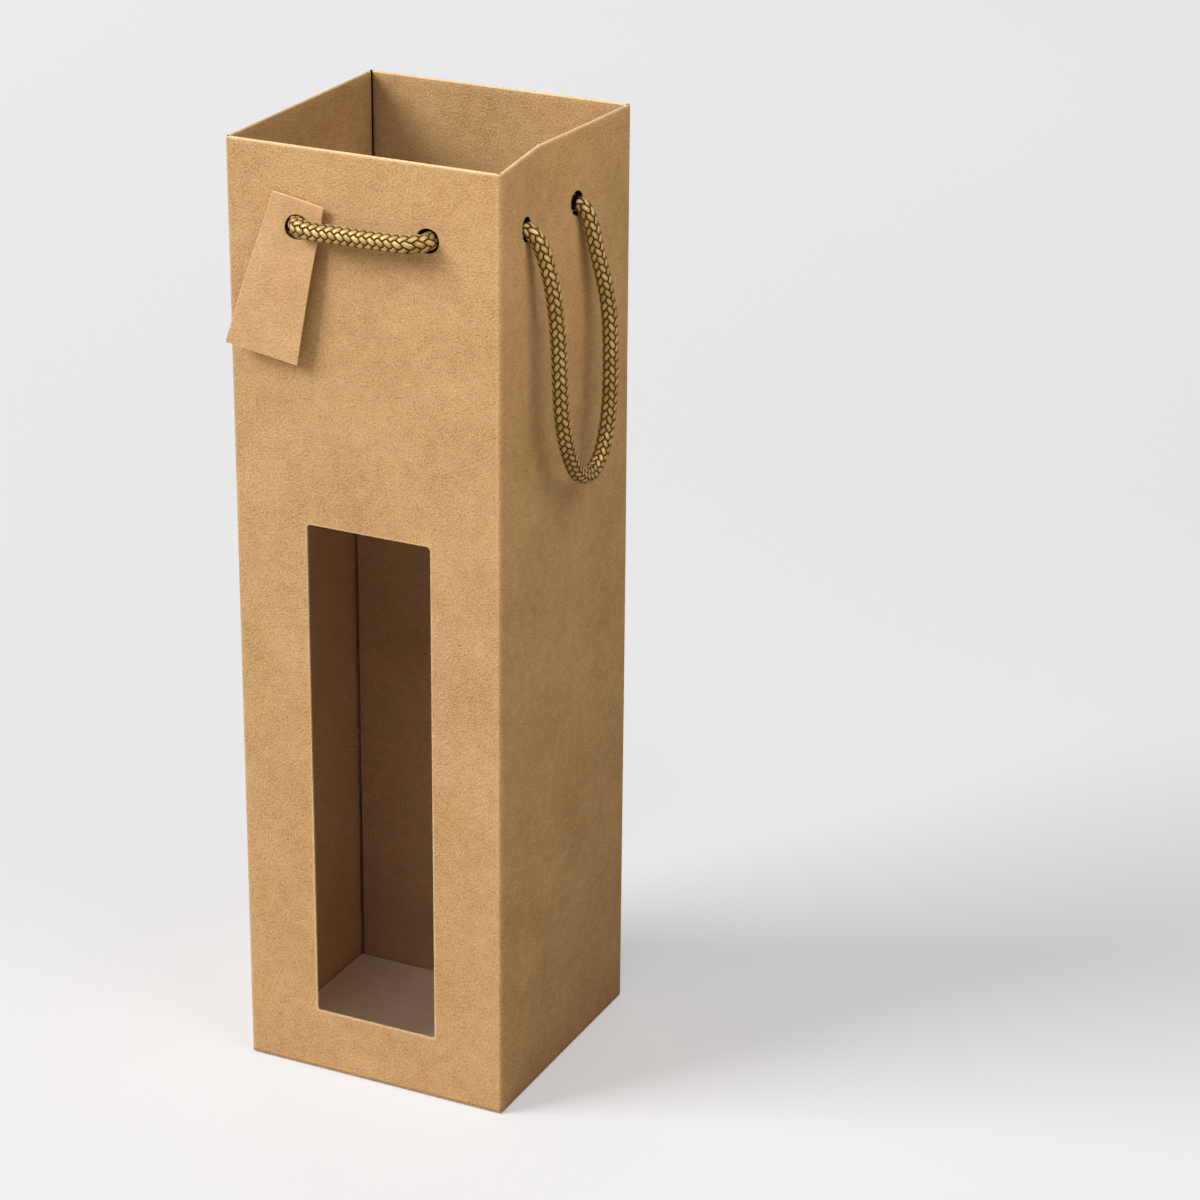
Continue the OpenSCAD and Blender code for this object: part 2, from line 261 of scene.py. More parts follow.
def braid():
    """Braided cord: satin yarns along each float of a strand, painted shade in the gaps between the floats,
    and a painted highlight on top of each float. rise is the height of the float, 0 to 1, clear how far
    that is above the next float, yarn the place across it, -1 to 1, tint its own tone at random, and the
    shade share how far the cord is painted dark, as painted shade inside a hole."""
    f = Finish("cord_braid", Specular_IOR_Level=0.0)
    clear, rise, yarn, tint = (f.own(name) for name in ("clear", "rise", "yarn", "tint"))
    fuzz = f.noise(f.place(), 2600.0, 2.0) - 0.5
    yarns = (yarn * (2 * math.pi * YARNS)).cos() * 0.5 + 0.5
    # Painted shade: where a float sinks under the next one, its colour goes nearly black, as the shade in
    # the gaps.
    shown = rise.step(0.40, 0.82) * (0.03 + clear.step(0.16, 0.62) * 0.97)
    colour = f.mix(shown, linear(10, 5, 0), linear(178, 140, 76))
    # Painted highlight: the top of each float is painted pale, whichever way the light falls.
    painted_highlight = (rise.step(0.80, 1.0) * clear.step(0.2, 0.6) * (0.35 + yarns * 0.65)).clamp()
    colour = f.mix(painted_highlight, colour, linear(255, 230, 174))
    colour = f.mix((tint * 0.40 * shown).clamp(), colour, linear(104, 76, 34))
    # Random fuzz, and painted shade in the grooves between the yarns, darken the colour.
    colour = f.mix((fuzz * 0.6 + (1.0 - yarns) * 0.26 * shown).clamp(), colour, linear(84, 58, 20))
    # Painted shade: inside a hole the cord is painted nearly black, and loses its gloss there.
    inside = f.own("deep")
    colour = f.mix(inside.clamp(), colour, linear(14, 9, 4))
    satin = shown * (1.0 - inside) * 0.4
    roughness = 0.62 - shown * 0.24 + fuzz * 0.2
    return f.close(colour, roughness, yarns * 0.6 + fuzz * 0.2, YARN_DEPTH, satin)


def hole_shade():
    """The punched rim of a cord hole, painted nearly black and without gloss as painted shade in the hole,
    with a faint speckle.
    """
    f = Finish("hole_rim_painted_shade", Specular_IOR_Level=0.0, Roughness=1.0)
    speckle = f.noise(f.place(), 900.0, 2.0)
    return f.close(f.mix(speckle, linear(6, 4, 3), linear(20, 14, 8)))


FLOOR_LIT = 0.49  # grey of the floor to the camera
FLOOR_GLOW, FLOOR_FAR = 0.385, 0.495  # its glow round the object, and 1.7 m behind it
SEEN_WORLD = 0.76  # brightness of the world to the camera


def glow(level):
    """A grey of a level, a little bluish, for what glows."""
    return level, level, level * 1.03, 1.0


def studio_floor():
    """Pale matt floor, as wide as the view. The camera sees less of its shadows than the object does: a
    share of what it sees is a plain glow, which meets the world's tone between 2.2 and 9 m away."""
    f = Finish("floor_paint", Specular_IOR_Level=0.0, Roughness=1.0, Emission_Strength=1.0)
    place = f.place()
    clouds = f.noise(place, 9.0, 4.0, 0.6)
    seen = f.node("ShaderNodeLightPath", {}, out=0)
    back = f.node("ShaderNodeSeparateXYZ", {}, place, out=1).step(0.0, 1.7)
    away = f.node("ShaderNodeVectorMath", {"operation": "LENGTH"}, place, out=1).step(2.2, 9.0)
    lit = f.mix(seen, linear(208, 197, 182), (FLOOR_LIT, FLOOR_LIT, FLOOR_LIT, 1.0))
    horizon = (SEEN_WORLD - 0.03, SEEN_WORLD - 0.03, SEEN_WORLD - 0.02, 1.0)
    shown = f.mix(away, f.mix(back, glow(FLOOR_GLOW), glow(FLOOR_FAR)), horizon)
    f.tree.links.new(f.mix(seen, glow(0.0), shown).socket, f.shader.inputs["Emission Color"])
    return f.close(f.mix(clouds * 0.05, lit, (0.4, 0.4, 0.4, 1.0)))


KRAFT = kraft("kraft_board", linear(164, 121, 74), linear(206, 165, 114), linear(236, 199, 150))
KRAFT_EDGE = kraft("board_edge", linear(200, 160, 112), linear(232, 196, 146), linear(250, 222, 180),
                   grain=0.8)
# Painted light: a paler copy of the kraft board, for the inside of the sleeve and the spacer card, to stand
# in for light inside the box.
KRAFT_INSIDE = kraft("kraft_inside", linear(158, 128, 95), linear(200, 168, 132), linear(224, 198, 164),
                     grain=0.7)
TAG_CARD = kraft("tag_card", linear(170, 128, 82), linear(212, 170, 121), linear(238, 202, 154), grain=0.8)
# Painted light: paler copies of the kraft board for the spacer's plates and the base, to stand in for light
# inside the box.
PLATE_INSIDE = kraft("kraft_plate_painted_light", linear(178, 146, 111), linear(220, 188, 151), linear(243, 217, 182),
                     by_uv=False, grain=0.7)
BASE_CARD = kraft("base_card", linear(200, 174, 150), linear(240, 218, 196), linear(250, 236, 222),
                  by_uv=False, grain=0.7)
HOLE_SHADE = hole_shade()
CORD = braid()


# Meshes

def make_piece(name, points, faces, materials, uv, pick=None, sharp=40.0, **shares):
    """A closed mesh from points in millimetres and a list of face arrays, its faces turned outwards. uv
    gives each face corner's place on the sheet, pick each face's material, and shares what each point
    carries for its material, such as its wear and painted highlight, and its painted shade."""
    mesh = bpy.data.meshes.new(name)
    loops = np.concatenate([f.ravel() for f in faces]).astype(np.int32)
    sizes = np.concatenate([np.full(len(f), f.shape[1]) for f in faces]).astype(np.int32)
    mesh.vertices.add(len(points))
    mesh.loops.add(len(loops))
    mesh.polygons.add(len(sizes))
    mesh.vertices.foreach_set("co", (np.asarray(points) * MM).astype(np.float32).ravel())
    mesh.loops.foreach_set("vertex_index", loops)
    mesh.polygons.foreach_set("loop_start", (np.cumsum(sizes) - sizes).astype(np.int32))
    mesh.polygons.foreach_set("loop_total", sizes)
    mesh.polygons.foreach_set("use_smooth", np.ones(len(sizes), bool))
    if pick is not None:
        mesh.polygons.foreach_set("material_index", np.asarray(pick, np.int32))
    mesh.uv_layers.new(name="sheet").data.foreach_set("uv", (uv * MM).astype(np.float32).ravel())
    for share, values in shares.items():
        mesh.attributes.new(share, "FLOAT", "POINT").data.foreach_set("value", values.astype(np.float32))
    mesh.update(calc_edges=True)
    mesh.validate()
    work = bmesh.new()
    work.from_mesh(mesh)
    bmesh.ops.recalc_face_normals(work, faces=work.faces)
    work.to_mesh(mesh)
    work.free()
    mesh.set_sharp_from_angle(angle=math.radians(sharp))
    for material in materials:
        mesh.materials.append(material)
    piece = bpy.data.objects.new(name, mesh)
    bpy.context.scene.collection.objects.link(piece)
    return piece


# Cord: one line from end to end, and its stretches

def smooth_line(points, step):
    """A natural cubic spline through the points, by chord length, as evenly spaced points, with the length
    along it of each of these and of each given point."""
    p = np.asarray(points, float)
    h = np.linalg.norm(np.diff(p, axis=0), axis=1)
    t = np.concatenate([[0], np.cumsum(h)])
    n = len(p)
    left, right = np.zeros((n, n)), np.zeros((n, 3))
    left[0, 0] = left[-1, -1] = 1
    inner = np.arange(1, n - 1)
    left[inner, inner - 1], left[inner, inner] = h[:-1], 2 * (h[:-1] + h[1:])
    left[inner, inner + 1] = h[1:]
    right[inner] = 6 * (np.diff(p, axis=0)[1:] / h[1:, None] - np.diff(p, axis=0)[:-1] / h[:-1, None])
    bend = np.linalg.solve(left, right)

    def at(q):
        i = np.clip(np.searchsorted(t, q, side="right") - 1, 0, n - 2)
        x, w = (q - t[i])[:, None], h[i][:, None]
        slope = (p[i + 1] - p[i]) / w - w * (2 * bend[i] + bend[i + 1]) / 6
        return p[i] + x * (slope + x * (bend[i] / 2 + x * (bend[i + 1] - bend[i]) / (6 * w)))

    fine_t = np.linspace(0, t[-1], 12000)
    fine = at(fine_t)
    run = np.concatenate([[0], np.cumsum(np.linalg.norm(np.diff(fine, axis=0), axis=1))])
    s = np.arange(0, run[-1], step)
    line = np.stack([np.interp(s, run, fine[:, k]) for k in range(3)], 1)
    return line, s, np.interp(t, fine_t, run)


def carried_frames(line):
    """Two directions across the line at each point that turn with it and never twist about it: those of a
    fixed side direction, turned back by the sum of their own twist."""
    tangent = np.gradient(line, axis=0)
    tangent /= np.linalg.norm(tangent, axis=1)[:, None]
    u = np.cross(tangent, np.array([0.5, 0.62, 0.6]))
    u /= np.linalg.norm(u, axis=1)[:, None]
    v = np.cross(tangent, u)
    step = np.einsum("ij,ij->i", np.diff(u, axis=0), (v[1:] + v[:-1]) / 2)
    twist = np.concatenate([[0], np.cumsum(step)])
    c, s = np.cos(twist)[:, None], np.sin(twist)[:, None]
    return u * c - v * s, u * s + v * c


def floats(turn, along):
    """The strands' floats at a place, by turns round the cord and millimetres along it. Each float is a
    pillow: its height is the root of 1 less the shares of its half length and half width, each to the power
    of ROUNDNESS. Floats stand in columns, those of one column half a pitch past the next one's and turned
    the other way. Of the floats near the place the highest shows. Gives its height, how far that is above
    the next one, the place across it and its shade."""
    x, y = np.broadcast_arrays(turn * COLUMNS, along / PITCH)
    best, second, across, shade = np.zeros((4, *x.shape))
    for beside in (-1, 0, 1):
        column = np.floor(x) + beside
        odd = np.mod(column, 2)
        before = np.floor(y - 0.5 * odd)
        for row in (before, before + 1):
            right, up = (x - column - 0.5) * FLOAT_W, (y - row - 0.5 * odd) * PITCH
            way = 1 - 2 * odd
            long = (up * math.cos(FLOAT_TURN) + way * right * math.sin(FLOAT_TURN)) / FLOAT_LONG
            wide = (right * math.cos(FLOAT_TURN) - way * up * math.sin(FLOAT_TURN)) / FLOAT_WIDE
            height = np.sqrt(np.clip(1 - np.abs(long) ** ROUNDNESS - np.abs(wide) ** ROUNDNESS, 0, 1))
            higher = height > best
            second = np.maximum(second, np.where(higher, best, height))
            best = np.where(higher, height, best)
            across = np.where(higher, wide, across)
            own = np.mod(np.sin(np.mod(column, COLUMNS) * 12.99 + row * 78.23) * 437.58, 1)
            shade = np.where(higher, own, shade)
    return best, best - second, across, shade


def braided(name, line, u, v, s, radius=2.95, sides=88, swell=None, painted_hole_shade=None):
    """A closed tube along the line. u and v point across it, and s is the length along it. Its reach is the
    radius, less the relief's full height, plus the floats. swell multiplies the reach, and the share of
    painted hole shade tells how far each ring is painted dark, as the shade in a hole. Each end is closed
    by a point just past it. On the UV map, 1 across is once round the tube, and 1 up is a metre along it."""
    n = len(line)
    share = np.arange(sides + 1) / sides
    angle = 2 * np.pi * share[:-1]
    ring = np.cos(angle)[None, :, None] * u[:, None] + np.sin(angle)[None, :, None] * v[:, None]
    rise, clear, yarn, tint = floats(share[None, :-1], s[:, None])
    reach = radius - RELIEF + RELIEF * rise
    if swell is not None:
        reach = reach * swell[:, None]
    points = (line[:, None] + ring * reach[..., None]).reshape(-1, 3)
    ends = []
    for k, way in ((0, 1), (n - 1, -1)):
        inward = line[k + way] - line[k]
        ends.append(line[k] - inward / np.linalg.norm(inward) * 0.5)
    points = np.concatenate([points, ends])
    i, j = (g.ravel() for g in np.meshgrid(np.arange(n - 1), np.arange(sides), indexing="ij"))
    k = (j + 1) % sides
    quads = np.stack([i * sides + j, i * sides + k, (i + 1) * sides + k, (i + 1) * sides + j], -1)
    uv = [np.stack([share[j], s[i], share[j + 1], s[i], share[j + 1], s[i + 1], share[j], s[i + 1]], -1)]
    here, after = np.arange(sides), (np.arange(sides) + 1) % sides
    caps = []
    for base, middle, at in ((0, n * sides, s[0]), ((n - 1) * sides, n * sides + 1, s[-1])):
        fan = np.stack([base + here, base + after, np.full(sides, middle)], 1)
        caps.append(fan[:, ::1 if base else -1])
        near, far, mid, along = share[:-1], share[1:], share[:-1] + 0.5 / sides, np.full(sides, at)
        order = (near, far, mid) if base else (mid, far, near)
        uv.append(np.stack([q for turn in order for q in (turn, along)], -1))
    uv = np.concatenate([q.reshape(-1, 2) for q in uv])
    uv[:, 0] /= MM
    painted_hole_shade = np.zeros(n) if painted_hole_shade is None else painted_hole_shade
    deep = np.concatenate([np.repeat(painted_hole_shade, sides), painted_hole_shade[[0, -1]]])
    rise, clear, yarn, tint = (np.append(q.ravel(), [0.0, 0.0]) for q in (rise, clear, yarn, tint))
    return make_piece(name, points, [quads, *caps], [CORD], uv, sharp=180, deep=deep, rise=rise,
                      clear=clear, yarn=yarn, tint=tint)


# The cord's points, from its right end to its left end
RIGHT_END = [(33.8, 12.3, 305), (33.8, 11.3, 311.5), (34.6, 10.3, 314.5), (36.8, 9.7, 315.6),
             (38.8, 9.7, 315.5)]
RIGHT_LOOP = [(45.8, 10, 315.4), (48.5, 10.4, 315.2), (50.5, 10.5, 314.3), (52.1, 10.5, 312.3),
              (53.3, 10.6, 309.5), (54.9, 10.9, 302.8), (57.2, 11.9, 292.5), (59.6, 12.5, 279),
              (60.6, 12, 266), (61, 11.2, 252), (61, 9.6, 241.5), (61, 6.2, 233.2), (61, 1.2, 228.2),
              (61, -4.5, 226.5), (61, -10.2, 227.9), (61.1, -15.8, 232), (61.2, -20.6, 239),
              (61.3, -24, 246), (61.3, -26.2, 254), (60.9, -27, 266), (60.3, -27, 279),
              (59.1, -27.3, 291.5), (57.3, -27.7, 302), (55.7, -28, 307.6), (53.8, -28.2, 312.4),
              (51.5, -28.3, 315.3), (48.9, -28.3, 316.4)]
RIGHT_CORNER = [(46.5, -28.3, 316.5), (42, -28.6, 316.2), (38, -30, 315.6), (34.4, -32.6, 315),
                (31, -36.2, 314.8), (28, -40.2, 314.6), (25.8, -44.2, 314.6), (24.8, -47.4, 314.5)]
FRONT = [(24.3, -50, 314.5), (22.9, -52.3, 314.5), (20.6, -54.1, 314.4), (16.5, -55, 314.3),
         (9, -55.2, 314.2), (0, -55.2, 314.1), (-9, -55.2, 314.1), (-15.8, -55, 314.1),
         (-19.6, -54.1, 314.2), (-21.9, -52.3, 314.2), (-23.3, -50, 314.2)]
LEFT_CORNER = [(-24, -47.4, 314.2), (-25.5, -44.2, 314.3), (-28, -40.2, 314.5), (-31, -36.2, 314.8),
               (-34.6, -32.6, 315), (-38.5, -30, 315.4), (-43, -28.6, 315.8)]
LEFT_LOOP = [(-48, -28.3, 316), (-50.6, -28.3, 315.7), (-53.1, -28.3, 314.5), (-55.2, -28.2, 311.9),
             (-56.4, -28.1, 308), (-57, -27.8, 299), (-57, -27.3, 285), (-57, -27, 269), (-57, -26.5, 255),
             (-57, -25, 246), (-57, -22, 238.6), (-57, -16.5, 231.2), (-57, -8, 227.5), (-57, 0.5, 231.2),
             (-57, 6, 238.6), (-57, 9, 246), (-57, 10.5, 255), (-57, 11, 269), (-57, 10.8, 285),
             (-57, 10.3, 299), (-56.4, 9.9, 308), (-55.2, 9.7, 311.9), (-53.1, 9.7, 314.5),
             (-50.6, 9.7, 315.7), (-48.6, 9.7, 316)]
LEFT_END = [(-41.6, 9.7, 316), (-39.6, 9.7, 316), (-37.4, 10.3, 314.5), (-36.6, 11.3, 311.5),
            (-36.6, 12.3, 305)]
STRETCHES = [RIGHT_END, RIGHT_LOOP, RIGHT_CORNER, FRONT, LEFT_CORNER, LEFT_LOOP, LEFT_END]
STEP = 0.24  # from ring to ring of the tube
DRAWN, FULLER = 0.94, 0.06  # the cord's reach in the loops, and what it gains in a front hole and past it

# The whole line, the length along it of each of its points, and of each point above
line, run, marks = smooth_line([p for part in STRETCHES for p in part], STEP)
side_u, side_v = carried_frames(line)
first_of = np.cumsum([0] + [len(part) for part in STRETCHES])


def smoothstep(x):
    """A smooth rise from 0 at 0 to 1 at 1: 3 x squared less 2 x cubed."""
    x = np.clip(x, 0, 1)
    return x * x * (3 - 2 * x)


def stretch(name, start, end, grow=(0.0, 0.0), tip=None):
    """The braided cord between two points of the route, longer by grow at each end. It is drawn tight in
    the loops and a little fuller across the front. tip is the end that is cut and sealed, where the cord
    narrows into a dome. From 1.2 to 5 mm behind a wall's face it is painted dark, as painted shade in its
    hole. Gives the piece, its line and its length."""
    keep = (run >= marks[start] - grow[0]) & (run <= marks[end] + grow[1])
    s = run[keep]
    own = line[keep]
    forward = -own[:, 1]
    swell = DRAWN + FULLER * smoothstep((forward - 46) / 3) + FULLER * smoothstep((forward - 51) / 3)
    if tip is not None:
        away = (s - s[0]) if tip == 0 else (s[-1] - s)
        swell *= 0.62 + 0.38 * np.sqrt(np.clip(1 - (1 - np.clip(away / 1.6, 0, 1)) ** 2, 0, 1))
    depth = np.minimum(HALF_W - np.abs(own[:, 0]), HALF_D - np.abs(own[:, 1]))
    # Painted shade: the cord goes dark just behind a wall's face, and fades back by 5 mm.
    painted_hole_shade = smoothstep((depth - 1.2) / 0.7) * (1 - smoothstep((depth - 2.4) / 2.6))
    return braided(name, own, side_u[keep], side_v[keep], s, swell=swell, painted_hole_shade=painted_hole_shade), own, s[-1] - s[0]


def knot(name, middle):
    """A stopper knot: the cord's own tube on a three-lobed knot line round the cord, drawn tight. Round the
    cord: radius 3.0 + 1.45 cos 3t at angle 2t. Along it: 1.5 sin 3t. It holds a whole number of floats."""
    t = np.linspace(0, 2 * np.pi, 321)
    away = 3.0 + 1.45 * np.cos(3 * t)
    path = np.stack([1.5 * np.sin(3 * t), away * np.cos(2 * t), away * np.sin(2 * t)], 1) + np.array(middle)
    tangent = np.gradient(path, axis=0)
    tangent[0] = tangent[-1] = tangent[0] + tangent[-1]
    tangent /= np.linalg.norm(tangent, axis=1)[:, None]
    outward = path - np.array(middle)
    u = outward - tangent * np.einsum("ij,ij->i", outward, tangent)[:, None]
    u /= np.linalg.norm(u, axis=1)[:, None]
    length = np.concatenate([[0], np.cumsum(np.linalg.norm(np.diff(path, axis=0), axis=1))])
    s = length * (round(length[-1] / PITCH) * PITCH / length[-1])
    return braided(name, path, u, np.cross(tangent, u), s, radius=2.35, sides=48)


tail_right, _, _ = stretch("right_tail_braid", 0, first_of[1] - 1, grow=(0, 1.5), tip=0)
loop_right, loop_right_line, loop_right_length = stretch(
    "right_loop_braid", first_of[1], first_of[2], grow=(1.5, 0))
front, front_line, front_length = stretch("front_braid", first_of[2], first_of[5])
loop_left, loop_left_line, loop_left_length = stretch(
    "left_loop_braid", first_of[5], first_of[6] - 1, grow=(0, 1.5))
tail_left, _, _ = stretch("left_tail_braid", first_of[6], len(marks) - 1, grow=(1.5, 0), tip=1)
knot_right = knot("right_knot_braid", (42.3, *SIDE_HOLES[1]))
knot_left = knot("left_knot_braid", (-45.1, *SIDE_HOLES[1]))

for piece in (tail_right, front, tail_left, knot_right, knot_left):
    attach(piece, "root")
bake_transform(loop_right)
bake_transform(loop_left)
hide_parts("cord_end_right")
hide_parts("cord_loop_right", "cord_anchor_right")
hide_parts("cord_front", "cord_corner_right", "cord_corner_left")
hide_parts("cord_loop_left", "cord_anchor_left")
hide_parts("cord_end_left")
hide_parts("knot_right")
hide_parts("knot_left")
loop_right_length * MM
loop_right_line[::-8] * MM
front_length * MM
front_line[::8] * MM
loop_left_length * MM
loop_left_line[::8] * MM


# Sheets of board with cuts in them

def filled(lines, step):
    """The lines in order, without those within 0.12 of the one before, and with more between any two that
    are further apart than step."""
    lines = np.unique(np.round(lines, 4))
    lines = lines[np.concatenate([[True], np.diff(lines) > 0.12])]
    parts = [np.linspace(a, b, max(1, math.ceil((b - a) / step - 0.01)), endpoint=False)
             for a, b in zip(lines[:-1], lines[1:])]
    return np.concatenate([*parts, lines[-1:]])


def round_lines(middle, margin):
    """Lines round a hole that cut its rim at even angles: the middle plus margin times a tangent."""
    return middle + margin * np.tan(np.radians(np.linspace(-45, 45, 13)))


def slot_lines(middle, half, corner, margin, step):
    """Lines round a window, close together where its corners are rounded."""
    far = half + margin
    bend = (half - corner) / half * far
    zone = np.linspace(bend, far, 6)
    return middle + np.concatenate([-zone, zone, filled([-bend, bend], step)])


def on_rim(x, z, half_x, half_z, corner):
    """The point of a rounded rectangle's rim that answers to a point of a square's rim, both within 1."""
    point = np.stack([x * half_x, z * half_z], 1)
    core = np.clip(point, [corner - half_x, corner - half_z], [half_x - corner, half_z - corner])
    away = point - core
    size = np.linalg.norm(away, axis=1)[:, None]
    return core + away * corner / np.maximum(size, 1e-9)


def ripple(a, b, seed):
    """A slow wave over a wall, the sum of three waves, never past 1.25 either way."""
    return (np.sin(a / 31 + seed) * np.cos(b / 47 + 2 * seed) + 0.6 * np.sin(b / 29 + a / 53 + 3 * seed)
            + 0.4 * np.sin(a / 17 - b / 37 + 5 * seed)) / 1.6


HALF_ALONG = np.array([HALF_W, HALF_D, HALF_W, HALF_D])  # of the front, right, back and left wall
HALF_OUT = np.array([HALF_D, HALF_W, HALF_D, HALF_W])
OUT = np.array([(0, -1), (1, 0), (0, 1), (-1, 0)], float)
ALONG = np.array([(1, 0), (0, 1), (-1, 0), (0, -1)], float)
DENT, DENT_H, CREASE_Y = 4.6, 80.0, -11.6  # how deep the dent is, how far down it goes, and its crease
CREASE_ROUND, FOOT_ROUND = 0.4, 0.0006  # how soft the crease and the dent's foot are
BOW, RIPPLE = 0.22, 0.10  # how far a wall swells, and how high its slow waves are
LEAN = 0.55  # how far the rear right corner leans in at the rim
INSIDE_PLACE, TAG_PLACE, SPACER_PLACE = 517.0, 900, 1500  # where on the sheet's grain these are cut


def dent(y, z):
    """How far the right wall is pushed in: a tent across it that peaks at the crease, less the share lost
    below the rim, and never less than nothing. The crease and the foot of the dent are rounded."""
    fold = HALF_D - CORNER
    away = np.sqrt((y - CREASE_Y) ** 2 + CREASE_ROUND ** 2) - CREASE_ROUND
    tent = 1 - np.where(y < CREASE_Y, away / (CREASE_Y + fold), away / (fold - CREASE_Y))
    raw = tent - (HEIGHT - z) / DENT_H
    return DENT * 0.5 * (raw + np.sqrt(raw ** 2 + FOOT_ROUND))


def sleeve_point(wall, c, turn, z, depth):
    """The place of a point of the sleeve: on a wall at c along it, or on the fold after it, turned by an
    angle, and depth below the outer face. Inside, the lines close up towards the corners. Then come the
    soft bow of each wall, the dent and the leaning corner."""
    radius = np.maximum(CORNER - depth, 0.25)
    flat = HALF_ALONG[wall] - depth - radius
    slack = (HALF_ALONG[wall] - CORNER) - flat
    c = c - np.sign(c) * slack * smoothstep((np.abs(c) - 32) / (HALF_ALONG[wall] - CORNER - 32))
    middle_out = HALF_OUT[wall] - depth - radius
    out = middle_out + radius * np.cos(turn)
    along = np.where(turn > 0, flat + radius * np.sin(turn), c)
    x, y = OUT[wall, 0] * out + ALONG[wall, 0] * along, OUT[wall, 1] * out + ALONG[wall, 1] * along
    inner = np.cos(np.clip(along / HALF_ALONG[wall], -1, 1) * np.pi / 2)
    bow = BOW * np.sin(np.pi * z / HEIGHT) + RIPPLE * ripple(along, z, wall + 1.0)
    lift = np.where(turn > 0, 0, inner) * bow
    x, y = x + OUT[wall, 0] * lift, y + OUT[wall, 1] * lift
    right = smoothstep((x - 30) / 15)
    x = x - right * dent(y, z)
    x = x - LEAN * smoothstep((z - 120) / 220) * smoothstep((x + 20) / 70) * smoothstep((y - 5) / 40)
    return np.stack([x, y, z + np.zeros_like(x)], -1)


def ring_pairs(i0, i1, j0, j1):
    """Grid places round a block, in order: along its foot, up its right, back along its top, and down."""
    up, right = np.arange(j0, j1), np.arange(i0, i1)
    i = np.concatenate([right, np.full(len(up), i1), right[::-1] + 1, np.full(len(up), i0)])
    j = np.concatenate([np.full(len(right), j0), up, np.full(len(right), j1), up[::-1] + 1])
    return i, j


